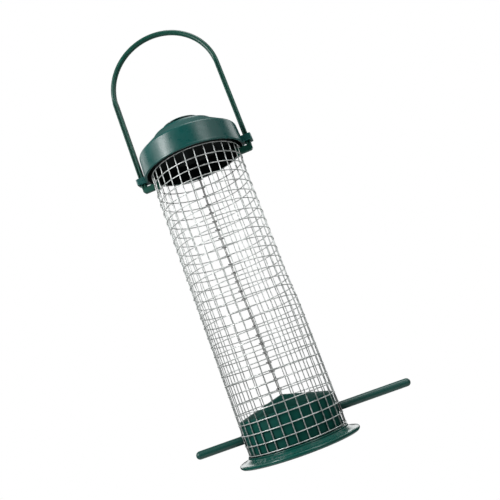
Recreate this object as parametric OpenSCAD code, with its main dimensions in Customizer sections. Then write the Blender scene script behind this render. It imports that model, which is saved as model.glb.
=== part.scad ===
// Hanging peanut feeder for garden birds: a welded wire mesh tube on a moulded base with a conical
// floor, a perch rod pushed through the base, a carrying bail whose feet hook into the mesh, and a lid
// that rides up the bail's legs for filling. Millimetres, +Z up. The origin is the point under the
// bail's arch where a hook or branch carries the feeder, so the whole feeder hangs below it.

/* [Mesh tube] */
// Distance between neighbouring upright wires, round the tube
cell_w = 6.46; // [6.3:0.01:6.6]
// Distance between neighbouring ring wires, up the tube
cell_h = 6.42; // [6.3:0.02:6.6]
// Diameter of the galvanised wire
wire_d = 0.64; // [0.5:0.02:0.8]
// Turn of the tube's top ring relative to its bottom ring, left over from rolling the sheet
mesh_twist = 2.6; // [0:0.1:3]
// Slant of the mesh's bottom ring, with the +X side lower. It fades to nothing at the top ring
mesh_lean = 1; // [0:0.1:1.2]
// How far the ring wires sink into the uprights where they are welded
weld_depth = 0.04; // [0.02:0.01:0.08]

/* [Base] */
// Radius of the flange that the feeder stands on
flange_r = 37.9; // [36:0.1:44]
// Height of the bottom ring wire above the foot of the base
first_ring_h = 6.3; // [6.2:0.1:10]
// Height of the neck's bottom edge, where the flange starts
neck_foot_h = 4.1; // [4:0.1:4.6]
// Slant of the base and its perch in the tube: the +X side hangs lower
base_lean = 1.35; // [0.7:0.05:1.35]
// Rise of the conical floor from its edge to its tip
cone_rise = 7.7; // [4:0.1:14]
// Thickness of the base's moulded wall
base_wall = 1.7; // [1.2:0.1:2.4]

/* [Perch] */
// Diameter of the perch rod
perch_d = 5; // [4:0.1:5]
// Length of the perch rod, tip to tip
perch_l = 137.8; // [110:0.2:170]
// How far the rod has been pushed through towards +X
perch_shift = 7.7; // [0:0.1:12]
// Radial clearance of the rod in the base
perch_gap = 0.05; // [0.03:0.01:0.1]

/* [Lid] */
// Outer radius of the skirt at its rim
lid_r = 34.9; // [33.5:0.1:35.2]
// Height of the skirt
skirt_h = 14.3; // [13:0.1:20]
// Rise of the lid from the skirt's top to the top of its button
crown_rise = 14.5; // [14:0.1:16]
// Radius of the flat button on top
button_r = 13.5; // [11:0.1:15]
// Thickness of the lid's moulded wall
lid_wall = 1.5; // [1.2:0.1:1.8]
// Tip of the lid about its ears, towards -Y, within the play they have on the bail's legs
lid_tip = 1.5; // [0:0.1:1.6]

/* [Bail] */
// Distance from the axis to the middle of each leg
leg_x = 37.8; // [37.6:0.1:39]
// Thickness of the strap, seen from the front
strap_t = 3.3; // [2.8:0.1:3.5]
// Width of the strap, front to back
strap_w = 4.2; // [3.6:0.1:4.6]
// Diameter of the round rod that the arch between the legs is
arch_d = 3.6; // [3.2:0.1:4]
// Height of the straight legs above the lid's rim
leg_h = 61; // [57:0.5:90]
// Turn of the bail and the lid round the tube: the feet sit one cell off the perch's line
bail_turn = 7.5; // [6.8:0.1:8]
// Clearance between a leg and its slot in the lid's ear
slide_gap = 0.3; // [0.2:0.05:0.4]

/* [Hidden] */
$fn = 96;
uprights = 30;
rings = 30;
rim_lift = 0.8;
step_angle = 360 / uprights;
ring_r = uprights * cell_w / (2 * PI);
wire_r = wire_d / 2;
upright_r = ring_r - wire_d + weld_depth;
first_angle = step_angle / 2;
tube_h = (rings - 1) * cell_h;
top_ring_h = first_ring_h + tube_h;
// At the seam, the two edge wires all but touch, and each ring's cut ends stop short of each other
seam_angle = 90;
edge_gap = 0.03;
end_gap = 0.3;
seam_half = (wire_r + edge_gap) / upright_r * 180 / PI;
seam_gap = end_gap / ring_r * 180 / PI;
// How far an upright's cut ends stand past the outermost rings
cut_end = 0.25;
mesh_foot_h = first_ring_h - wire_r - cut_end;
upright_l = 2 * (first_ring_h - mesh_foot_h) + tube_h;
upright_lean = atan(upright_r * mesh_twist * PI / 180 / tube_h);

// The core fills the mesh up to just above its fourth ring, and the mesh stands on the neck
core_gap = 0.45;
core_over = 0.6;
core_r = upright_r - wire_r - core_gap;
core_h = first_ring_h + 3 * cell_h + core_over;
neck_gap = 0.4;
neck_edge = 0.4;
neck_r = ring_r + wire_r + neck_edge;
neck_top_h = mesh_foot_h - neck_gap;
neck_chamfer = 0.4;
foot_ring_w = 1.8;
foot_ring_h = 0.8;
foot_inset = 0.9;
lip_h = 1.4;
lip_r = 1.3;
flange_bulge = 0.25;
// The perch lies a little below the middle of the second row of cells
perch_drop = 0.15;
perch_h = first_ring_h + 1.5 * cell_h - perch_drop;

rim_h = top_ring_h + rim_lift;
rim_bead = 0.15;
shoulder_h = rim_h + skirt_h;
shoulder_r = lid_r - rim_bead;
lid_top_h = shoulder_h + crown_rise;
// The skirt narrows a little from its rim to its shoulder
skirt_draft = 0.6;
// The shoulder's arc turns from the skirt to the slope. Its centre lies this share of its radius lower
shoulder_fillet = 1.8;
shoulder_drop = 0.54;
shoulder_turn = 56;
step_r = 21.5;
step_h = shoulder_h + 8.8;
step_rise = 1;
step_inset = 0.5;
dome_bulge = 0.7;
button_t = 1.6;
button_edge = 0.4;
ear_h = 4.3;
ear_wall = 1.5;

arch_h = rim_h + leg_h;
hook_h = arch_h + leg_x - arch_d / 2;
foot_t = 4;
foot_gap = 0.65;
foot_h = top_ring_h - cell_h + wire_r + foot_gap;
foot_w = 3.2;
head_x = 27.7;
head_t = 1.5;
head_drop = 1.1;
head_rise = 0.9;
nib_t = 0.9;
nib_h = 1.1;
nib_gap = 0.05;
nib_w = 2.4;
groove_w = 1.1;
groove_d = 0.5;
chamfer = 0.4;

green = "#1f5a4e";
dark_green = "#194a40";
zinc = "#b9bcbc";

// Heights in the modules are counted from the foot of the base. This hangs them below the hook point.
module hung() {
    translate([0, 0, -hook_h]) children();
}

// Points of an arc about c, from angle a to angle b.
function arc(c, r, a, b, n = 8) =
    [for (i = [0:n]) c + r * [cos(a + (b - a) * i / n), sin(a + (b - a) * i / n)]];

// Points of a shallow bulged line from p to q, without its ends.
function bulged(p, q, rise, n = 8) =
    let (d = q - p, up = [-d[1], d[0]] / norm(d))
    [for (i = [1:n - 1]) p + d * i / n - up * rise * 4 * i / n * (1 - i / n)];

module both_sides() {
    children();
    mirror([1, 0, 0]) children();
}

// One upright wire, with its cut ends just past the outermost rings. The angle is that of its foot.
module upright(angle) {
    dip = upright_r * tan(mesh_lean) * cos(angle);
    rotate([0, 0, angle + mesh_twist / 2]) translate([upright_r, 0, first_ring_h + tube_h / 2])
        rotate([-upright_lean, 0, 0]) translate([0, 0, -upright_l / 2 - dip])
            cylinder(h = upright_l + dip, r = wire_r, $fn = 24);
}

// All the uprights but the two at the seam.
module upright_wires() {
    color(zinc)
        for (k = [0:uprights - 1])
            if (abs(first_angle + k * step_angle - seam_angle) > 1)
                upright(first_angle + k * step_angle);
}

// The mesh is a flat sheet rolled into a tube: its two edge wires stand side by side at the seam.
module seam_wires() {
    color(zinc)
        for (side = [-1, 1])
            upright(seam_angle + side * seam_half);
}

// One ring wire, which runs round the tube from one edge of the sheet to the other.
module ring_wire(k) {
    color(zinc)
        translate([0, 0, first_ring_h + (k - 1) * cell_h])
            rotate([0, mesh_lean * (rings - k) / (rings - 1), 0])
            rotate([0, 0, seam_angle + seam_gap + mesh_twist * (k - 1) / (rings - 1)])
                rotate_extrude(angle = 360 - 2 * seam_gap)
                    translate([ring_r, 0]) circle(r = wire_r, $fn = 24);
}

// The base's outer outline, from the cone's tip down to the foot.
function base_outline() = concat(
    [[0, core_h + cone_rise], [core_r, core_h], [core_r, neck_top_h],
     [neck_r - neck_chamfer, neck_top_h], [neck_r, neck_top_h - neck_chamfer], [neck_r, neck_foot_h]],
    bulged([neck_r + 0.4, neck_foot_h], [flange_r - lip_r - 0.1, lip_h + 1.1], flange_bulge),
    arc([flange_r - lip_r, lip_h], lip_r, 80, -50),
    [[flange_r - foot_inset, 0]]
);

// The hollow underneath: the same shape inside the wall, open at the foot.
function base_hollow() = [
    [0, 0], [flange_r - foot_inset - foot_ring_w, 0], [flange_r - foot_inset - foot_ring_w, foot_ring_h],
    [core_r - base_wall + 0.6, neck_foot_h - 1], [core_r - base_wall, neck_foot_h],
    [core_r - base_wall, core_h - base_wall / 2], [0, core_h + cone_rise - base_wall]
];

// The base and the perch lean together about the perch's middle.
module leaning() {
    translate([0, 0, perch_h]) rotate([0, base_lean, 0]) translate([0, 0, -perch_h]) children();
}

module base() {
    color(green)
        leaning() difference() {
            rotate_extrude() polygon(concat(base_outline(), [[0, 0]]));
            translate([0, 0, -0.001]) rotate_extrude() polygon(base_hollow());
            translate([-flange_r, 0, perch_h]) rotate([0, 90, 0])
                cylinder(h = 2 * flange_r, r = perch_d / 2 + perch_gap);
        }
}

// A plain rod with domed ends, pushed through the base and out between the wires.
module perch() {
    straight = perch_l - perch_d;
    color(dark_green)
        leaning() translate([perch_shift, 0, perch_h]) rotate([0, 90, 0]) {
            translate([0, 0, -straight / 2]) cylinder(h = straight, d = perch_d);
            for (end = [-1, 1])
                translate([0, 0, end * straight / 2]) sphere(d = perch_d);
        }
}

// The lid's outer outline from the rim up: beaded rim, skirt, rounded shoulder, slope, step, dome, button.
function lid_outline() = concat(
    [[lid_r - 0.3, rim_h], [lid_r, rim_h + 0.3], [lid_r, rim_h + 1],
     [shoulder_r - 0.01, rim_h + 1.3]],
    arc([shoulder_r - skirt_draft - shoulder_fillet, shoulder_h - shoulder_drop * shoulder_fillet],
        shoulder_fillet, 0, shoulder_turn),
    [[step_r, step_h], [step_r - step_inset, step_h + step_rise]],
    bulged([step_r - step_inset, step_h + step_rise], [button_r + 0.4, lid_top_h - button_t], -dome_bulge),
    [[button_r, lid_top_h - button_t], [button_r, lid_top_h - button_edge],
     [button_r - button_edge, lid_top_h]]
);

// The hollow under the lid, which clears the top of the mesh tube.
function lid_hollow() = [
    [0, rim_h], [lid_r - lid_wall, rim_h], [shoulder_r - skirt_draft - lid_wall, shoulder_h - 1.8],
    [shoulder_r - skirt_draft - lid_wall - 0.9, shoulder_h - 1], [step_r - 0.4, step_h - lid_wall],
    [button_r + 0.6, lid_top_h - button_t - lid_wall], [0, lid_top_h - button_t - lid_wall + 0.2]
];

// An ear: a block on the side of the rim with a slot that one leg of the bail runs through.
module ear() {
    slot_x = strap_t + 2 * slide_gap;
    slot_y = strap_w + 2 * slide_gap;
    out_x = leg_x + slot_x / 2 + ear_wall;
    half_y = slot_y / 2 + ear_wall;
    corner = 0.9;
    translate([0, 0, rim_h]) linear_extrude(height = ear_h)
        difference() {
            union() {
                translate([lid_r - 1, -half_y]) square([out_x - corner - lid_r + 1, 2 * half_y]);
                translate([lid_r - 1, -half_y + corner])
                    square([out_x - lid_r + 1, 2 * (half_y - corner)]);
                for (side = [-1, 1])
                    translate([out_x - corner, side * (half_y - corner)]) circle(r = corner);
            }
            translate([leg_x - slot_x / 2, -slot_y / 2]) square([slot_x, slot_y]);
        }
}

module lid() {
    color(green)
        rotate([0, 0, -bail_turn])
        translate([0, 0, rim_h]) rotate([lid_tip, 0, 0]) translate([0, 0, -rim_h])
        union() {
            difference() {
                rotate_extrude() polygon(concat(lid_outline(), [[0, lid_top_h], [0, rim_h]]));
                translate([0, 0, -0.001]) rotate_extrude() polygon(lid_hollow());
            }
            both_sides() ear();
        }
}

// The strap's cross-section, centred on the leg: chamfered corners and a groove in front and behind.
function strap_half() = let (t = strap_t / 2, w = strap_w / 2) [
    [t, w - chamfer], [t - chamfer, w], [groove_w / 2 + 0.15, w], [groove_w / 2, w - groove_d],
    [-groove_w / 2, w - groove_d], [-groove_w / 2 - 0.15, w], [-t + chamfer, w], [-t, w - chamfer]
];

module strap_section() {
    polygon(concat(strap_half(), [for (p = strap_half()) -p]));
}

// The bail's foot turns in under the rim and through one cell of the mesh. A head holds it inside.
module bail_foot() {
    out_x = leg_x + strap_t / 2;
    rotate([90, 0, 0]) translate([0, 0, -foot_w / 2]) linear_extrude(height = foot_w)
        polygon([
            [head_x, foot_h + foot_t + head_rise], [head_x, foot_h - head_drop],
            [head_x + head_t, foot_h - head_drop], [head_x + head_t, foot_h],
            [out_x - 1.2, foot_h], [out_x, foot_h + 1.2], [out_x, foot_h + foot_t + 0.1],
            [out_x - strap_t, foot_h + foot_t + 0.1], [out_x - strap_t, foot_h + foot_t],
            [head_x + head_t, foot_h + foot_t], [head_x + head_t, foot_h + foot_t + head_rise]
        ]);
}

// A small nib on the outside of each leg, which the lid's ear comes down on.
module stop_nib() {
    rotate([90, 0, 0]) translate([0, 0, -nib_w / 2]) linear_extrude(height = nib_w)
        polygon([
            [leg_x, rim_h - nib_gap], [leg_x + strap_t / 2 + nib_t, rim_h - nib_gap],
            [leg_x + strap_t / 2 + nib_t, rim_h - 0.5], [leg_x + strap_t / 2, rim_h - nib_h],
            [leg_x, rim_h - nib_h]
        ]);
}

module bail() {
    color(green)
        rotate([0, 0, -bail_turn]) union() {
            translate([0, 0, arch_h]) rotate([90, 0, 0])
                rotate_extrude(angle = 180) translate([leg_x, 0]) circle(d = arch_d, $fn = 48);
            both_sides() {
                translate([leg_x, 0, foot_h + foot_t]) linear_extrude(height = arch_h - foot_h - foot_t)
                    strap_section();
                bail_foot();
                stop_nib();
            }
        }
}

hung() lid();
hung() bail();
hung() base();
hung() perch();
hung() upright_wires();
hung() seam_wires();
for (k = [1:rings])
    hung() ring_wire(k);
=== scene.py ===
"""A hanging peanut feeder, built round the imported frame. Shapes are made in millimetres, from where the
tube's axis meets the base's foot, and PLACE brings them into the part's frame, in metres."""

import math
import random

import bmesh
import bpy
from mathutils import Matrix, Vector, noise


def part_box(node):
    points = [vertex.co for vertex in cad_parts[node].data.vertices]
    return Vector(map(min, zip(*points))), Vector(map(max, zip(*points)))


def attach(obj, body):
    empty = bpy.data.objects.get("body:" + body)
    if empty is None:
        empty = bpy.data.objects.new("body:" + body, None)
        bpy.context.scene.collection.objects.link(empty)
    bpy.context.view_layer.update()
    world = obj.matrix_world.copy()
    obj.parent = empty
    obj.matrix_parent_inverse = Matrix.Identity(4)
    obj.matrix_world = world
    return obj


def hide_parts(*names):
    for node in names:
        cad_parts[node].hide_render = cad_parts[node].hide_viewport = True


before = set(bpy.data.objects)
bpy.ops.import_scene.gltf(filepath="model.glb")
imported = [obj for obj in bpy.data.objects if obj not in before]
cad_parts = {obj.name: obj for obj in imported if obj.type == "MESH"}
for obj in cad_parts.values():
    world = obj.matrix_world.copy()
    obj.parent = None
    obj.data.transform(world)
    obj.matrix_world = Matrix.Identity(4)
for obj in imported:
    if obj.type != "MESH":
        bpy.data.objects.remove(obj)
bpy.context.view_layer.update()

MM = 0.001
# The mesh's ring wires: height of the first, pitch up the tube, and how many there are
FIRST_RING = 6.3
CELL = 6.42
RINGS = 30
ring_low, ring_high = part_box("ring_wire_1")
FOOT_Z = (ring_low.z + ring_high.z) / 2 - FIRST_RING * MM
PLACE = Matrix.Translation((0, 0, FOOT_Z)) @ Matrix.Scale(MM, 4)


# ---------------------------------------------------------------- camera
def make_camera():
    """Below the lid and above the perch, rolled so that the feeder leans to the left."""
    yaw, pitch, roll = (math.radians(v) for v in (2.008, 11.751, 20.783))
    stand = Vector((-0.0004, -0.395, FOOT_Z + 43.1 * MM))
    forward = Vector((math.sin(yaw) * math.cos(pitch), math.cos(yaw) * math.cos(pitch), math.sin(pitch)))
    level = Vector((math.cos(yaw), -math.sin(yaw), 0))
    upright = level.cross(forward)
    right = math.cos(roll) * level - math.sin(roll) * upright
    up = math.sin(roll) * level + math.cos(roll) * upright
    data = bpy.data.cameras.new("camera")
    data.lens = 45.184
    data.sensor_width = 36
    data.clip_start = 0.01
    cam = bpy.data.objects.new("camera", data)
    axes = Matrix((right, up, -forward)).transposed().to_4x4()
    cam.matrix_world = Matrix.Translation(stand) @ axes
    bpy.context.scene.collection.objects.link(cam)
    bpy.context.scene.camera = cam


make_camera()


# ---------------------------------------------------------------- mesh helpers
def fillet(corners, closed=False, steps=6):
    """Points of a polyline whose corners (x, y, radius) are rounded. A radius that its sides have no room for
    shrinks until it takes just under half of the shorter one."""
    most = 0.48
    out = []
    n = len(corners)
    for i, (x, y, radius) in enumerate(corners):
        here = Vector((x, y))
        if radius <= 0 or (not closed and i in (0, n - 1)):
            out.append(here)
            continue
        before = Vector(corners[i - 1][:2]) - here
        after = Vector(corners[(i + 1) % n][:2]) - here
        angle = before.angle(after)
        reach = radius / math.tan(angle / 2)
        limit = most * min(before.length, after.length)
        if reach > limit:
            reach, radius = limit, limit * math.tan(angle / 2)
        middle = (before.normalized() + after.normalized()).normalized()
        centre = here + middle * (radius / math.sin(angle / 2))
        start = here + before.normalized() * reach - centre
        turn = start.angle_signed(here + after.normalized() * reach - centre)
        for k in range(steps + 1):
            a = -turn * k / steps
            out.append(centre + Vector((start.x * math.cos(a) - start.y * math.sin(a),
                                        start.x * math.sin(a) + start.y * math.cos(a))))
    return out


def smooth(x):
    """0 up to x = 0, 1 from x = 1, and an easy curve between."""
    x = max(0.0, min(1.0, x))
    return x * x * (3 - 2 * x)


def bulge(p, q, rise, n=12):
    """Points between p and q on a shallow arc, without its ends, as sharp corners for fillet."""
    p, q = Vector(p), Vector(q)
    side = Vector((-(q - p).y, (q - p).x)).normalized()
    return [(*(p + (q - p) * i / n - side * rise * 4 * i / n * (1 - i / n)), 0) for i in range(1, n)]


def lathe(bm, profile, segs):
    """Turns a profile of (r, z) about the Z axis. A point with r = 0 becomes a single vertex."""
    rows = []
    for r, z in profile:
        if r < 1e-6:
            rows.append([bm.verts.new((0, 0, z))])
        else:
            rows.append([bm.verts.new((r * math.cos(a), r * math.sin(a), z))
                         for a in (2 * math.pi * k / segs for k in range(segs))])
    for a, b in zip(rows, rows[1:]):
        for k in range(segs):
            m = (k + 1) % segs
            loop = [a[k % len(a)], a[m % len(a)], b[m % len(b)], b[k % len(b)]]
            loop = [v for i, v in enumerate(loop) if v not in loop[:i]]
            if len(loop) > 2:
                bm.faces.new(loop)


def prism(bm, outline, low, high, soft=0.0, to=Matrix.Identity(4)):
    """Extrudes a closed outline from low to high along local Z, then moves it by `to`. Its end edges are
    softened by two bevels that reach `soft` in from the ends."""
    near = soft * 0.3
    levels = [(low, 0), (high, 0)]
    if soft:
        levels = [(low, soft), (low + near, near), (low + soft, 0),
                  (high - soft, 0), (high - near, near), (high, soft)]
    n = len(outline)
    pts = [Vector(p) for p in outline]
    area = sum(pts[i].x * pts[(i + 1) % n].y - pts[(i + 1) % n].x * pts[i].y for i in range(n))
    inward = []
    for i in range(n):
        d = (pts[(i + 1) % n] - pts[i - 1]).normalized()
        inward.append(Vector((-d.y, d.x)) * (1 if area > 0 else -1))
    rows = [[bm.verts.new(to @ Vector((*(pts[i] + inward[i] * inset), level))) for i in range(n)]
            for level, inset in levels]
    for a, b in zip(rows, rows[1:]):
        for k in range(n):
            bm.faces.new((a[k], a[(k + 1) % n], b[(k + 1) % n], b[k]))
    bm.faces.new(list(reversed(rows[0])))
    bm.faces.new(rows[-1])


def tube(bm, points, radius, sides=10, burnt=0):
    """A round wire along points, with flat cut ends. Its first and last `burnt` lengths take material 1."""
    n = len(points)
    rows = []
    normal = None
    for i in range(n):
        tangent = (points[min(i + 1, n - 1)] - points[max(i - 1, 0)]).normalized()
        if normal is None:
            normal = tangent.orthogonal().normalized()
        normal = (normal - tangent * normal.dot(tangent)).normalized()
        side = tangent.cross(normal)
        rows.append([bm.verts.new(points[i] + (normal * math.cos(a) + side * math.sin(a)) * radius)
                     for a in (2 * math.pi * k / sides for k in range(sides))])
    for i, (a, b) in enumerate(zip(rows, rows[1:])):
        for k in range(sides):
            face = bm.faces.new((a[k], a[(k + 1) % sides], b[(k + 1) % sides], b[k]))
            face.material_index = int(i < burnt or i >= n - 1 - burnt)
    bm.faces.new(list(reversed(rows[0])))
    bm.faces.new(rows[-1])


def mesh_object(name, bm, to=Matrix.Identity(4)):
    """An object from bm, in millimetres and moved by `to`, with outward normals."""
    bmesh.ops.recalc_face_normals(bm, faces=bm.faces)
    bmesh.ops.transform(bm, matrix=to, verts=bm.verts)
    me = bpy.data.meshes.new(name)
    bm.to_mesh(me)
    bm.free()
    obj = bpy.data.objects.new(name, me)
    bpy.context.scene.collection.objects.link(obj)
    return obj


def boolean(obj, other, operation):
    """Joins `other` to obj, or cuts it out of obj, for good. A solver that fails leaves next to nothing."""
    mod = obj.modifiers.new("boolean", "BOOLEAN")
    mod.operation, mod.solver, mod.object = operation, "EXACT", other
    graph = bpy.context.evaluated_depsgraph_get()
    me = bpy.data.meshes.new_from_object(obj.evaluated_get(graph))
    assert len(me.vertices) > 0.9 * len(obj.data.vertices), "the boolean failed"
    obj.modifiers.clear()
    obj.data = me
    bpy.data.objects.remove(other)


def soften(obj, angle=35, weighted=True):
    """Smooth shading, except over edges sharper than angle, in degrees."""
    bm = bmesh.new()
    bm.from_mesh(obj.data)
    for f in bm.faces:
        f.smooth = True
    for e in bm.edges:
        e.smooth = len(e.link_faces) == 2 and e.calc_face_angle(0) < math.radians(angle)
    bm.to_mesh(obj.data)
    bm.free()
    if weighted:
        mod = obj.modifiers.new("normals", "WEIGHTED_NORMAL")
        mod.keep_sharp = True


def piece(obj, body, slot, materials, *nodes):
    """Brings a finished shape into the part's frame, hangs it on its body and hides the CAD nodes that it
    stands for. Its faces keep their material numbers, which count through `materials`."""
    obj.data.transform(PLACE)
    kinds = [f.material_index for f in obj.data.polygons]
    obj.data.materials.clear()
    for material in materials:
        obj.data.materials.append(material)
    obj.data.polygons.foreach_set("material_index", [min(k, len(materials) - 1) for k in kinds])
    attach(obj, body)
    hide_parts(*nodes)


# ---------------------------------------------------------------- materials
def nodes_of(material):
    """The material's node tree, cleared, and a new Principled shader in it."""
    material.use_nodes = True
    tree = material.node_tree
    tree.nodes.clear()
    out = tree.nodes.new("ShaderNodeOutputMaterial")
    shader = tree.nodes.new("ShaderNodeBsdfPrincipled")
    tree.links.new(shader.outputs[0], out.inputs[0])
    return tree, shader


def add(tree, kind, **values):
    """A node whose settings and inputs are given by name, or inputs by number, as _0. Another node's socket
    is linked to the input."""
    node = tree.nodes.new(kind)
    for key, value in values.items():
        if hasattr(node, key) and key not in node.inputs:
            setattr(node, key, value)
            continue
        socket = node.inputs[int(key[1:])] if key[0] == "_" and key[1:].isdigit() else node.inputs[key]
        if isinstance(value, bpy.types.NodeSocket):
            tree.links.new(value, socket)
        else:
            socket.default_value = value
    return node


def space(tree, scale=(1, 1, 1)):
    """Object coordinates in metres, stretched by scale."""
    coords = add(tree, "ShaderNodeTexCoord")
    return add(tree, "ShaderNodeMapping", Vector=coords.outputs["Object"], Scale=scale).outputs[0]


def ramp(tree, value, *stops):
    """A colour ramp through stops of (position, colour or grey level)."""
    node = add(tree, "ShaderNodeValToRGB", Fac=value)
    while len(node.color_ramp.elements) < len(stops):
        node.color_ramp.elements.new(0.5)
    for element, (position, colour) in zip(node.color_ramp.elements, stops):
        element.position = position
        element.color = (*colour, 1) if isinstance(colour, tuple) else (colour, colour, colour, 1)
    return node.outputs[0]


def noise_at(tree, where, scale, detail=3, rough=0.5):
    """Noise from about 0.3 to 0.7, whose scale is in features per metre."""
    node = add(tree, "ShaderNodeTexNoise", Vector=where, Scale=scale, Detail=detail, Roughness=rough)
    return node.outputs[0]


def plastic(name, dark, light, rough, stretch=(1, 1, 1), grain=0.05, gloss_level=0.5):
    """Moulded or extruded polypropylene: cloudy pigment, uneven gloss, fine grain and paler rubbed edges, with
    painted shade in corners and hollows that darkens the colour and dims the gloss there."""
    # Painted shade: how dark and how dull the most sheltered spots become.
    deepest_shade, shaded_gloss, sheltered, open_to_air = 0.12, 0.1, 0.15, 0.75
    material = bpy.data.materials.new(name)
    tree, shader = nodes_of(material)
    flow = space(tree, stretch)
    cloud = noise_at(tree, flow, 60, 4, 0.55)
    pigment = ramp(tree, cloud, (0.3, dark), (0.72, light))
    edge = add(tree, "ShaderNodeNewGeometry").outputs["Pointiness"]
    worn = ramp(tree, edge, (0.5, 0.0), (0.62, 1.0))
    rubbed = add(tree, "ShaderNodeMath", operation="MULTIPLY", _0=worn, _1=0.5).outputs[0]
    pale = tuple(min(1, 2.2 * c + 0.02) for c in light)
    colour = add(tree, "ShaderNodeMix", data_type="RGBA", Factor=rubbed)
    tree.links.new(pigment, colour.inputs["A"])
    colour.inputs["B"].default_value = (*pale, 1)
    # Painted shade: ambient occlusion darkens the colour and dims the gloss in corners and hollows.
    open_air = add(tree, "ShaderNodeAmbientOcclusion", Distance=0.014, samples=8).outputs["AO"]
    shade = ramp(tree, open_air, (sheltered, deepest_shade), (open_to_air, 1.0))
    shaded_colour = add(tree, "ShaderNodeMixRGB", blend_type="MULTIPLY", Fac=1.0, Color1=colour.outputs["Result"],
                Color2=shade).outputs[0]
    tree.links.new(shaded_colour, shader.inputs["Base Color"])
    sheen = ramp(tree, open_air, (sheltered, shaded_gloss * gloss_level), (open_to_air, gloss_level))
    tree.links.new(sheen, shader.inputs["Specular IOR Level"])
    gloss = noise_at(tree, flow, 220, 5, 0.6)
    tree.links.new(ramp(tree, gloss, (0.3, rough - 0.06), (0.75, rough + 0.08)), shader.inputs["Roughness"])
    fine = noise_at(tree, flow, 2600, 3, 0.6)
    wave = noise_at(tree, flow, 140, 2, 0.5)
    low = add(tree, "ShaderNodeBump", Strength=0.12, Distance=0.0006, Height=wave)
    high = add(tree, "ShaderNodeBump", Strength=grain, Distance=0.0001, Height=fine, Normal=low.outputs[0])
    tree.links.new(high.outputs[0], shader.inputs["Normal"])
    shader.inputs["IOR"].default_value = 1.5
    return material


def zinc(name, low, middle, high, metallic):
    """Hot-dip galvanised wire: patchy crystals of three shades, and a lumpy coat of uneven gloss."""
    material = bpy.data.materials.new(name)
    tree, shader = nodes_of(material)
    where = space(tree)
    cells = add(tree, "ShaderNodeTexVoronoi", Vector=where, Scale=700)
    patch = add(tree, "ShaderNodeSeparateColor", Color=cells.outputs["Color"]).outputs[0]
    colour = ramp(tree, patch, (0.0, low), (0.6, middle), (1.0, high))
    tree.links.new(colour, shader.inputs["Base Color"])
    shader.inputs["Metallic"].default_value = metallic
    dull = noise_at(tree, where, 420, 4)
    tree.links.new(ramp(tree, dull, (0.3, 0.34), (0.75, 0.58)), shader.inputs["Roughness"])
    lumps = noise_at(tree, where, 1400, 3)
    bump = add(tree, "ShaderNodeBump", Strength=0.35, Distance=0.00008, Height=lumps)
    tree.links.new(bump.outputs[0], shader.inputs["Normal"])
    return material


lid_green = plastic("lid_green", (0.0030, 0.072, 0.064), (0.0042, 0.088, 0.080), 0.30)
base_green = plastic("base_green", (0.0030, 0.062, 0.048), (0.0042, 0.078, 0.061), 0.17)
# Painted light and shade: the base plastic again, duller and a touch paler, for the core inside the mesh.
core_green = plastic("core_green", (0.0034, 0.062, 0.049), (0.0050, 0.078, 0.062), 0.42, gloss_level=0.14)
# Painted shade: the base plastic darkened for the floor round the cone, which the lid shades.
floor_painted_shade = plastic("floor_painted_shade", (0.0020, 0.036, 0.028), (0.0030, 0.044, 0.035), 0.5, gloss_level=0.02)
# Painted shade: a near-black copy of the green for the lid's hollow.
shadow_green = plastic("shadow_green", (0.0035, 0.0060, 0.0058), (0.0060, 0.0095, 0.0092), 0.45,
                       gloss_level=0.1)
bail_green = plastic("bail_green", (0.0030, 0.058, 0.040), (0.0045, 0.074, 0.051), 0.32, gloss_level=0.4)
rod_green = plastic("rod_green", (0.0040, 0.055, 0.044), (0.0065, 0.070, 0.058), 0.36,
                    stretch=(0.12, 1, 1), grain=0.12)
wire = zinc("galvanised_wire", (0.44, 0.47, 0.46), (0.64, 0.67, 0.66), (0.82, 0.84, 0.83), 0.85)
# A darker zinc, which the seam's two edge wires take.
seam_edge_zinc = zinc("darker_zinc", (0.12, 0.125, 0.12), (0.30, 0.31, 0.305), (0.55, 0.56, 0.55), 0.85)
# Dark zinc: burnt welds and cut ends, and painted shade on welds at the back of the tube.
scorched_and_shaded = zinc("scorched_and_shaded_zinc", (0.03, 0.03, 0.03), (0.06, 0.06, 0.058), (0.12, 0.12, 0.115), 0.5)


# ---------------------------------------------------------------- lid
SEGS = 192
RIM = FIRST_RING + (RINGS - 1) * CELL + 0.8
SHOULDER = RIM + 14.3
TOP = SHOULDER + 14.5
STEP = SHOULDER + 8.8
LID_R, SKIRT_R, STEP_R, BUTTON_R = 34.9, 34.75, 21.5, 13.5
DRAFT = 0.6
LID_WALL = 1.5
SLIDE_GAP = 0.3
# The bail's feet are turned off the perch's line, and the lid is tipped forward in the play of its ears.
TURN = Matrix.Rotation(math.radians(-7.5), 4, "Z")
TIP = (Matrix.Translation((0, 0, RIM)) @ Matrix.Rotation(math.radians(1.5), 4, "X")
       @ Matrix.Translation((0, 0, -RIM)))
LEG_X, STRAP_T, STRAP_W, ARCH_R = 37.8, 3.3, 4.2, 1.8


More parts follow.
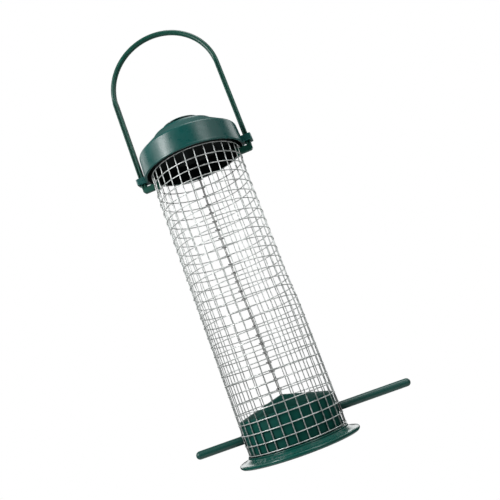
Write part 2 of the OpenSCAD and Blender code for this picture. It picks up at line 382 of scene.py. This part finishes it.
def lid_profile():
    """The lid's closed outline of (r, z): up the outside, with an undercut button, and down the hollow."""
    steps, groove, groove_low = 7, 0.8, 1.75
    step_edge, button_foot = (STEP_R - 0.5, STEP + 1), (BUTTON_R + 0.35, TOP - 1.6)
    hollow_r = SKIRT_R - DRAFT - LID_WALL
    outside = [
        (LID_R - LID_WALL, RIM, 0.25), (LID_R, RIM, 0.3), (LID_R, RIM + 1.15, 0.12),
        (SKIRT_R, RIM + 1.35, 0.12), (SKIRT_R - DRAFT, SHOULDER, 1.8), (STEP_R, STEP, 0.15),
        (*step_edge, 0.2), *bulge(step_edge, button_foot, -0.7), (*button_foot, 0),
        (BUTTON_R - groove, TOP - groove_low, 0.1), (BUTTON_R - groove, TOP - 0.75, 0.15),
        (BUTTON_R, TOP - 0.6, 0.1), (BUTTON_R, TOP, 0.2), (0, TOP, 0)]
    inside = [
        (0, TOP - 2.9, 0), (BUTTON_R + 0.6, TOP - 3.1, 0.6), (STEP_R - 0.4, STEP - LID_WALL, 0.8),
        (hollow_r - 0.9, SHOULDER - 1.2, 0.6), (hollow_r, SHOULDER - 2.4, 0.6)]
    corners = outside + inside
    shape = fillet(corners + corners[:2], steps=steps)
    start = fillet(corners[-1:] + corners[:2], steps=steps)[1:-1]
    return start + shape[1:-2 - steps] + start[:1]


def add_ear(lid, side):
    """An ear on one side of the lid, with a slot that a leg of the bail runs through."""
    ear_wall, ear_h, corner, slot_corner = 1.5, 4.3, 0.9, 0.3
    slot_x, slot_y = STRAP_T / 2 + SLIDE_GAP, STRAP_W / 2 + SLIDE_GAP
    root_x, out_x, half_y = LID_R - 0.9, LEG_X + slot_x + ear_wall, slot_y + ear_wall
    spin = TURN @ TIP @ Matrix.Rotation(math.radians(side), 4, "Z")
    block = fillet([(root_x, -half_y, 0), (out_x, -half_y, corner), (out_x, half_y, corner),
                    (root_x, half_y, 0)], closed=True)
    bm = bmesh.new()
    prism(bm, block, RIM, RIM + ear_h, 0.25)
    boolean(lid, mesh_object("ear", bm, spin), "UNION")
    slot = fillet([(LEG_X - slot_x, -slot_y, slot_corner), (LEG_X + slot_x, -slot_y, slot_corner),
                   (LEG_X + slot_x, slot_y, slot_corner), (LEG_X - slot_x, slot_y, slot_corner)],
                  closed=True, steps=3)
    bm = bmesh.new()
    prism(bm, slot, RIM - 1, RIM + 6)
    boolean(lid, mesh_object("slot", bm, spin), "DIFFERENCE")


def make_lid():
    """The lid, with painted shade in its hollow: its faces inside the rim that look inward or down take
    material 1, a near-black copy of the green.
    """
    bm = bmesh.new()
    lathe(bm, lid_profile(), SEGS)
    bmesh.ops.remove_doubles(bm, verts=bm.verts, dist=1e-4)
    lid = mesh_object("lid_moulding", bm, TURN @ TIP)
    for side in (0, 180):
        add_ear(lid, side)
    upright = (TURN @ TIP).inverted()
    low, high = RIM + 0.2, TOP - 1.9
    # Painted shade: the hollow's inward and downward faces take the near-black material.
    for face in lid.data.polygons:
        here = upright @ face.center
        out = upright.to_3x3() @ face.normal
        r = math.hypot(here.x, here.y)
        inward = here.x * out.x + here.y * out.y < -0.5 * r
        hollow = r < LID_R - 1.4 and (inward or out.z < -0.2)
        face.material_index = int(hollow and low < here.z < high)
    soften(lid)
    piece(lid, "lid", "moulded_green", (lid_green, shadow_green), "lid")


make_lid()


# ---------------------------------------------------------------- bail
ARCH = RIM + 61
FOOT_LOW = FIRST_RING + (RINGS - 2) * CELL + 0.97
FOOT_TOP = FOOT_LOW + 4.0


def strap_section():
    """Outline of the strap across its length: soft corners and a groove in front and behind."""
    half_t, half_w, groove, depth, slope, longest = STRAP_T / 2, STRAP_W / 2, 0.55, 0.6, 0.15, 0.4
    half = [(half_t, half_w, 0.5), (groove + slope, half_w, 0.2), (groove, half_w - depth, 0.1),
            (-groove, half_w - depth, 0.1), (-groove - slope, half_w, 0.2), (-half_t, half_w, 0.5)]
    corners = fillet(half + [(-x, -y, r) for x, y, r in half], closed=True, steps=4)
    points = []
    for p, q in zip(corners, corners[1:] + corners[:1]):
        n = math.ceil((q - p).length / longest)
        points += [p.lerp(q, k / n) for k in range(n)]
    return points


def round_section(section, radius):
    """The strap's points spread round a circle in proportion to the distances between them."""
    steps = [(q - p).length for p, q in zip(section, section[1:] + section[:1])]
    side = section[0].y
    turns = [2 * math.pi * (side + sum(steps[:k])) / sum(steps) for k in range(len(steps))]
    return [radius * Vector((math.cos(a), math.sin(a))) for a in turns]


def sweep_bail(bm):
    """The legs and the arch between them. The grooved strap turns into a round rod as the arch begins."""
    section = strap_section()
    rod = round_section(section, ARCH_R)
    arch_steps, rounding_angle, end_size = 96, 0.12, 0.9
    levels = (FOOT_TOP - 0.3, FOOT_TOP, ARCH - 40, ARCH - 20, ARCH - 0.4)
    path = [(Vector((LEG_X, 0, z)), 0.0) for z in levels]
    path += [(Vector((LEG_X * math.cos(a), 0, ARCH + LEG_X * math.sin(a))), a)
             for a in (math.pi * k / arch_steps for k in range(arch_steps + 1))]
    path += [(Vector((-LEG_X, 0, z)), math.pi) for z in reversed(levels)]
    rows = []
    for i, (centre, a) in enumerate(path):
        out = Vector((math.cos(a), 0, math.sin(a)))
        size = end_size if i in (0, len(path) - 1) else 1.0
        rounding = smooth(min(a, math.pi - a) / rounding_angle)
        row = [p.lerp(q, rounding) for p, q in zip(section, rod)]
        rows.append([bm.verts.new(centre + (out * p.x + Vector((0, p.y, 0))) * size) for p in row])
    n = len(section)
    for a, b in zip(rows, rows[1:]):
        for k in range(n):
            bm.faces.new((a[k], a[(k + 1) % n], b[(k + 1) % n], b[k]))
    bm.faces.new(list(reversed(rows[0])))
    bm.faces.new(rows[-1])


def foot_outline():
    """A foot from its side: out from the leg's lower end through the mesh to a head inside it."""
    out_x, head_in = LEG_X + STRAP_T / 2, 27.7
    head_out, head_low, head_top = head_in + 1.5, FOOT_LOW - 1.1, FOOT_TOP + 0.9
    leg_out, leg_in, leg_top = out_x - 0.1, out_x - STRAP_T + 0.1, FOOT_TOP + 0.5
    return fillet([
        (head_in, head_top, 0.4), (head_in, head_low, 0.4), (head_out, head_low, 0.4),
        (head_out, FOOT_LOW, 0.25), (out_x - 1.2, FOOT_LOW, 0.5), (leg_out, FOOT_LOW + 1.2, 0.5),
        (leg_out, leg_top, 0), (leg_in, leg_top, 0), (leg_in, FOOT_TOP, 0.3),
        (head_out, FOOT_TOP, 0.25), (head_out, head_top, 0.4)], closed=True, steps=4)


def nib_outline():
    """A nib from its side: a small wedge on the leg's outside, just under the lid's ear."""
    root_x, out_x = LEG_X + 0.93, LEG_X + STRAP_T / 2
    tip_x, low, high = out_x + 0.9, RIM - 1.13, RIM - 0.05
    return fillet([(root_x, low, 0), (out_x, low, 0.1), (tip_x, RIM - 0.5, 0.2), (tip_x, high, 0.15),
                   (root_x, high, 0)], closed=True, steps=3)


def make_bail():
    bm = bmesh.new()
    sweep_bail(bm)
    bail = mesh_object("bail_moulding", bm, TURN)
    flat = Matrix.Rotation(math.radians(90), 4, "X")
    for side in (0, 180):
        spin = TURN @ Matrix.Rotation(math.radians(side), 4, "Z")
        for outline, half_width, soft in ((foot_outline(), 1.6, 0.3), (nib_outline(), 1.17, 0.15)):
            bm = bmesh.new()
            prism(bm, outline, -half_width, half_width, soft, to=flat)
            boolean(bail, mesh_object("part", bm, spin), "UNION")
    soften(bail)
    piece(bail, "feeder", "moulded_green", (bail_green,), "bail")


make_bail()


# ---------------------------------------------------------------- base and perch
PERCH_R, PERCH_H = 2.5, FIRST_RING + 1.5 * CELL - 0.15
# The base and the perch slant together, with the +X side lower.
LEAN_ANGLE = math.radians(1.35)
LEAN = (Matrix.Translation((0, 0, PERCH_H)) @ Matrix.Rotation(LEAN_ANGLE, 4, "Y")
        @ Matrix.Translation((0, 0, -PERCH_H)))
ALONG_X = Matrix.Rotation(math.radians(90), 4, "Y")
CORE_R, CORE_H = 29.475, FIRST_RING + 3 * CELL + 0.6
CONE_TIP = CORE_H + 7.7
NECK_R, NECK_TOP, NECK_FOOT, FLANGE_R = 31.564, 5.33, 4.1, 37.9
BASE_WALL = 1.7


def base_profile():
    """The base's outline of (r, z), from the cone's tip down the outside and up the hollow."""
    hollow_r, foot_in, blunt, slope_end = CORE_R - BASE_WALL, FLANGE_R - 2.7, 0.4, (FLANGE_R - 1.4, 2.5)
    slope_start = (NECK_R + 0.4, NECK_FOOT)
    outside = [
        (0, CONE_TIP, 0), (blunt, CONE_TIP - 0.06, 0), (CORE_R, CORE_H, 0.45), (CORE_R, NECK_TOP, 0.3),
        (NECK_R, NECK_TOP, 0.4), (NECK_R, NECK_FOOT, 0.25), (*slope_start, 0),
        *bulge(slope_start, slope_end, 0.25), (*slope_end, 0.6), (FLANGE_R, 2.25, 1.1), (FLANGE_R, 0.75, 0.9),
        (FLANGE_R - 0.9, 0, 0.25), (foot_in, 0, 0.25)]
    inside = [
        (foot_in, 0.8, 0.3), (hollow_r + 0.6, NECK_FOOT - 1, 0.6), (hollow_r, NECK_FOOT, 0.5),
        (hollow_r, CORE_H - BASE_WALL / 2, 0.8), (0, CONE_TIP - BASE_WALL, 0)]
    return fillet(outside + inside, steps=7)


def make_base():
    """The base, whose core leans a little to the left. Above the neck its faces take material 1, a duller,
    slightly paler copy of the base plastic: painted light and shade for the core inside the mesh. Those of the
    floor take material 2, darker still: painted shade from the lid."""
    core_shear, bore_r, bore_half, bore_sides, gate_sides = 0.02, PERCH_R + 0.05, 35, 48, 32
    bm = bmesh.new()
    lathe(bm, base_profile(), SEGS)
    bmesh.ops.remove_doubles(bm, verts=bm.verts, dist=1e-4)
    for v in bm.verts:
        v.co.x -= core_shear * max(0.0, v.co.z - NECK_TOP)
    base = mesh_object("base_moulding", bm, LEAN)
    turns = (2 * math.pi * k / bore_sides for k in range(bore_sides))
    bm = bmesh.new()
    prism(bm, [(bore_r * math.cos(a), bore_r * math.sin(a)) for a in turns], -bore_half, bore_half)
    across = LEAN @ Matrix.Translation((0, 0, PERCH_H)) @ ALONG_X
    boolean(base, mesh_object("bore", bm, across), "DIFFERENCE")
    ceiling = CONE_TIP - BASE_WALL
    gate = [(0, ceiling - 1.5, 0), (1.1, ceiling - 1.4, 0.25), (1.6, ceiling + 0.2, 0), (0, ceiling + 0.4, 0)]
    bm = bmesh.new()
    lathe(bm, fillet(gate), gate_sides)
    boolean(base, mesh_object("gate", bm, LEAN), "UNION")
    # Painted light and shade: the core above the neck and its upward floor take their own copies of the
    # plastic.
    for face in base.data.polygons:
        inside = face.center.z > NECK_TOP + 0.4
        face.material_index = int(inside) + int(inside and face.normal.z > 0.5)
    soften(base)
    piece(base, "feeder", "moulded_green", (base_green, core_green, floor_painted_shade), "base")


def make_perch():
    """A slightly bowed rod whose ends were rounded by hand."""
    half, shift, end_steps, middle_steps, sides = 68.9, 7.7, 12, 60, 48
    bluntness, bow, waves = 0.92, 0.012, 0.25
    end = [(PERCH_R * math.sin(a) ** bluntness, -half + PERCH_R * (1 - math.cos(a)))
           for a in (math.pi / 2 * k / end_steps for k in range(end_steps + 1))]
    end[0] = (0, -half)
    lengths = [-half + PERCH_R + (2 * half - 2 * PERCH_R) * k / middle_steps for k in range(1, middle_steps)]
    profile = end + [(PERCH_R, x) for x in lengths] + [(r, -z) for r, z in reversed(end)]
    bm = bmesh.new()
    lathe(bm, profile, sides)
    for v in bm.verts:
        v.co.x += bow * noise.noise(Vector((v.co.z * waves, 1, 2)))
        v.co.y += bow * noise.noise(Vector((v.co.z * waves, 5, 9)))
    perch = mesh_object("perch_rod", bm, LEAN @ Matrix.Translation((shift, 0, PERCH_H)) @ ALONG_X)
    soften(perch, 60, weighted=False)
    piece(perch, "feeder", "rod_green", (rod_green,), "perch")


make_base()
make_perch()


# ---------------------------------------------------------------- wire mesh
CELLS_ROUND, CELL_W, WIRE_R = 30, 6.46, 0.32
SHEET_R = CELLS_ROUND * CELL_W / (2 * math.pi)
# Rings lie outside the uprights, LAYER_STEP apart in the CAD model. Here the welds press them SET_DOWN closer.
LAYER_STEP, SET_DOWN = 0.6, 0.25
RING_R = SHEET_R - SET_DOWN / 2
UPRIGHT_R = SHEET_R - LAYER_STEP + SET_DOWN / 2
TUBE_H = (RINGS - 1) * CELL
# The mesh twists from end to end, and its lower rings slant with the +X side lower.
TWIST = math.radians(2.6)
SLANT = math.tan(math.radians(1.0))
# The seam is at the back. A ring's ends take their heights from just past it.
SEAM, FULL_TURN, JUST_PAST = math.radians(90), 2 * math.pi, 1e-4
# A cut end is folded round the seam's edge wires on this radius, in this many steps.
HOOK_R, HOOK_STEPS = 0.45, 8
dice = random.Random(11)
ring_shift = [0.0] + [dice.uniform(-0.25, 0.25) for _ in range(RINGS - 2)] + [0.0]
ring_tilt = [dice.uniform(-0.3, 0.3) for _ in range(RINGS)]
sway = [dice.uniform(0, 50) for _ in range(40)]


def off_perch(theta):
    """How far round the tube a point is from the perch's hole, and the height of the hole on that side."""
    return math.asin(math.sin(theta)) * SHEET_R, PERCH_H - SHEET_R * math.cos(theta) * math.tan(LEAN_ANGLE)


def on_tube(theta, z, r):
    """A point of the rolled sheet: twisted, a little wavy and out of round, its front and back wires spread
    towards the sides, and pushed out by the perch. It bends to the left above the base and back to the right
    at the top."""
    spread, wave, wave_h, wave_low, wave_fade = 0.016, 0.08, 45, 24, 20
    push, push_wide, push_high = 0.45, 5.5, 5.0
    top_h, top_shift, upper_low, upper_h, upper_shift = 22, 0.8, 80, 28, 0.5
    widest, narrowing = 1.010, 0.013
    off, hole = off_perch(theta)
    turned = theta + TWIST * (z - FIRST_RING) / TUBE_H - spread * math.sin(2 * theta)
    around = Vector((2 * math.cos(turned), 2 * math.sin(turned), z / wave_h))
    r += wave * noise.noise(around) * smooth((z - wave_low) / wave_fade)
    r += push * math.exp(-(off / push_wide) ** 2 - ((z - hole) / push_high) ** 2)
    top = smooth((z - (RIM - top_h)) / top_h)
    upper = smooth((z - upper_low) / upper_h)
    wide = widest - narrowing * upper
    x = r * math.cos(turned) * wide + top_shift * top - upper_shift * upper
    return Vector((x, r * math.sin(turned), z))


def ring_height(k, theta):
    """Height of ring wire k, counted from 0: unevenly spaced and slanted, with a step across the seam and
    room for the perch."""
    sag, sag_skew, seam_step, room, room_wide = 2.1, 0.75, 0.42, PERCH_R + WIRE_R + 0.06, 4.5
    t = k / (RINGS - 1)
    z = FIRST_RING + k * CELL + ring_shift[k] - sag * math.sin(math.pi * t ** sag_skew)
    z -= SLANT * (1 - t) * SHEET_R * math.cos(theta)
    z += (0.0 if k in (0, RINGS - 1) else ring_tilt[k]) * math.cos(theta - sway[k])
    lap = ((theta - SEAM) / math.pi) % 2 - 1
    z += seam_step * lap ** 3
    off, hole = off_perch(theta)
    above = z - hole
    if abs(above) < room:
        z += (math.copysign(room, above) - above) * math.exp(-(off / room_wide) ** 4)
    return z


def blob(bm, centre, along, size, kind):
    """A weld: a small flattened lump where two wires are fused. Kind 1 is dark zinc: burnt welds, and painted
    shade on many at the back of the tube.
    """
    flatness = 0.98
    out = Vector((centre.x, centre.y, 0)).normalized()
    across = out.cross(Vector((0, 0, 1)))
    for v in bmesh.ops.create_icosphere(bm, subdivisions=1, radius=1)["verts"]:
        for f in v.link_faces:
            f.material_index = kind
        p = v.co.copy()
        up = Vector((0, 0, p.z * size * along))
        v.co = centre + across * p.x * size * along + out * p.y * size * flatness + up


def ring_path(k, reach):
    """Once round from seam to seam, and `reach` past it at both ends. Each cut end is folded in round the two
    edge wires."""
    steps = 180
    first, last = SEAM + JUST_PAST, SEAM + FULL_TURN - JUST_PAST
    points = []
    for i in range(steps + 1):
        theta = SEAM - reach + (FULL_TURN + 2 * reach) * i / steps
        points.append(on_tube(theta, ring_height(k, min(max(theta, first), last)), RING_R))
    turns = [math.pi * j / HOOK_STEPS for j in range(1, HOOK_STEPS + 1)]
    hook = [(HOOK_R * math.sin(a) / SHEET_R, RING_R - HOOK_R + HOOK_R * math.cos(a)) for a in turns]
    ends = []
    for theta, way, near in ((SEAM - reach, -1, first), (SEAM + FULL_TURN + reach, 1, last)):
        z = ring_height(k, near)
        ends.append([on_tube(theta + way * past, z, r) for past, r in hook])
    return list(reversed(ends[0])) + points + ends[1]


def make_ring(k, angles, edges):
    """Ring wire k with its welds. All at the seam are dark, burnt there; elsewhere a few in front are dark and
    many more at the back, which is painted shade on the tube's far side.
    """
    dark_odds_back, dark_odds_front, burnt_extra, weld_r = 0.4, 0.06, 0.1, SHEET_R - WIRE_R
    bm = bmesh.new()
    reach = math.radians(1.7 + dice.uniform(0, 0.6))
    tube(bm, ring_path(k, reach), WIRE_R, burnt=HOOK_STEPS + 1)
    for theta in angles + edges:
        z = ring_height(k, theta if theta > SEAM else theta + FULL_TURN)
        # Painted shade: welds at the back turn dark far more often than those in front.
        kind = int(theta in edges or dice.random() < (dark_odds_back if math.sin(theta) > 0 else dark_odds_front))
        along = dice.uniform(1.0, 1.18)
        size = dice.uniform(0.33, 0.39) + burnt_extra * kind
        blob(bm, on_tube(theta, z, weld_r), along, size, kind)
    ring = mesh_object(f"ring_{k + 1:02d}", bm)
    soften(ring, 60, weighted=False)
    piece(ring, "feeder", "galvanised_wire", (wire, scorched_and_shaded), f"ring_wire_{k + 1}")


def make_uprights(name, angles, node, coat):
    """The upright wires at the given angles, each a little wavy and cut just past the outermost rings."""
    steps, waviness, wave_h, past_low, past_high = 150, 0.10, 16, 0.5, 0.42
    bm = bmesh.new()
    for j, theta in enumerate(angles):
        low = FIRST_RING - SLANT * SHEET_R * math.cos(theta) - past_low - dice.uniform(0, 0.12)
        high = FIRST_RING + TUBE_H + past_high + dice.uniform(0, 0.15)
        points = []
        for i in range(steps + 1):
            z = low + (high - low) * i / steps
            bend = waviness * noise.noise(Vector((z / wave_h, sway[j], 3)))
            points.append(on_tube(theta + bend / UPRIGHT_R, z, UPRIGHT_R))
        tube(bm, points, WIRE_R)
    wires = mesh_object(name, bm)
    soften(wires, 60, weighted=False)
    piece(wires, "feeder", "galvanised_wire", (coat,), node)


def make_mesh():
    """The ring wires and the evenly spaced uprights. The seam and its two edge wires take one's place."""
    seam_place, edge_angle = 7, math.radians(0.68)
    pitch = 360 / CELLS_ROUND
    angles = [math.radians(pitch / 2 + pitch * j) for j in range(CELLS_ROUND) if j != seam_place]
    edges = [SEAM - edge_angle, SEAM + edge_angle]
    for k in range(RINGS):
        make_ring(k, angles, edges)
    make_uprights("uprights", angles, "upright_wires", wire)
    make_uprights("seam_edges", edges, "seam_wires", seam_edge_zinc)


make_mesh()


# ---------------------------------------------------------------- stage, light and background
MIDDLE = Vector((0, 0, -0.14))
LAMP_DISTANCE = 0.9


def area(name, where, size, energy):
    """A soft rectangular lamp that the camera doesn't see, aimed at the feeder's middle."""
    data = bpy.data.lights.new(name, "AREA")
    data.shape = "RECTANGLE"
    data.size, data.size_y = size
    data.energy = energy
    lamp = bpy.data.objects.new(name, data)
    lamp.visible_camera = False
    lamp.location = where
    lamp.rotation_mode = "QUATERNION"
    lamp.rotation_quaternion = (MIDDLE - Vector(where)).to_track_quat("-Z", "Y")
    bpy.context.scene.collection.objects.link(lamp)


def compass(azimuth, elevation):
    """A lamp's place seen from the feeder: azimuth 0 is towards the camera and 90 is towards +X."""
    a, e = math.radians(azimuth), math.radians(elevation)
    return (LAMP_DISTANCE * math.sin(a) * math.cos(e), -LAMP_DISTANCE * math.cos(a) * math.cos(e),
            MIDDLE.z + LAMP_DISTANCE * math.sin(e))


def make_floor():
    """A round sheet of pale paper, well below the hanging feeder."""
    bm = bmesh.new()
    bmesh.ops.create_circle(bm, cap_ends=True, segments=128, radius=1.4)
    me = bpy.data.meshes.new("floor")
    bm.to_mesh(me)
    bm.free()
    floor = bpy.data.objects.new("floor", me)
    floor.location.z = -0.75
    bpy.context.scene.collection.objects.link(floor)
    pale = bpy.data.materials.new("floor_paper")
    tree, shader = nodes_of(pale)
    shader.inputs["Base Color"].default_value = (0.86, 0.86, 0.85, 1)
    shader.inputs["Roughness"].default_value = 0.9
    me.materials.append(pale)


def make_lights():
    """Tall soft boxes round the feeder, one over it, and a bright strip behind it."""
    for name, azimuth, elevation, size, energy in (
            ("key", -54, 25, (0.18, 0.60), 5.2),
            ("key_inner", -43, 25, (0.16, 0.60), 1.3),
            ("key_outer", -72, 25, (0.36, 0.60), 1.2),
            ("fill", 38, 25, (0.34, 0.60), 2.1),
            ("fill_outer", 68, 25, (0.45, 0.60), 0.55),
            ("back_left", -128, 25, (0.45, 0.60), 1.2),
            ("back_right", 128, 25, (0.50, 0.60), 1.9),
            ("top", 70, 72, (0.5, 0.5), 3.4),
            ("backdrop", 180, 3, (1.5, 0.22), 1.8)):
        area(name, compass(azimuth, elevation), size, energy)


def make_world():
    """White to the camera. As light, it is faint from the sides and below and stronger from overhead."""
    world = bpy.data.worlds.new("studio")
    bpy.context.scene.world = world
    world.use_nodes = True
    tree = world.node_tree
    tree.nodes.clear()
    out = add(tree, "ShaderNodeOutputWorld")
    direction = add(tree, "ShaderNodeTexCoord").outputs["Generated"]
    parts = add(tree, "ShaderNodeSeparateXYZ", Vector=direction)
    height = add(tree, "ShaderNodeMapRange", Value=parts.outputs["Z"], _1=-1.0, _2=1.0).outputs[0]
    strength = ramp(tree, height, (0.0, 0.015), (0.62, 0.03), (0.85, 0.15), (1.0, 0.15))
    lit = add(tree, "ShaderNodeBackground", Color=(1, 1, 1, 1), Strength=strength)
    seen = add(tree, "ShaderNodeBackground", Color=(1, 1, 1, 1), Strength=1.0)
    ray = add(tree, "ShaderNodeLightPath").outputs["Is Camera Ray"]
    mix = add(tree, "ShaderNodeMixShader", Fac=ray, _1=lit.outputs[0], _2=seen.outputs[0])
    tree.links.new(mix.outputs[0], out.inputs[0])
    bpy.context.scene.view_settings.view_transform = "Standard"


make_floor()
make_lights()
make_world()
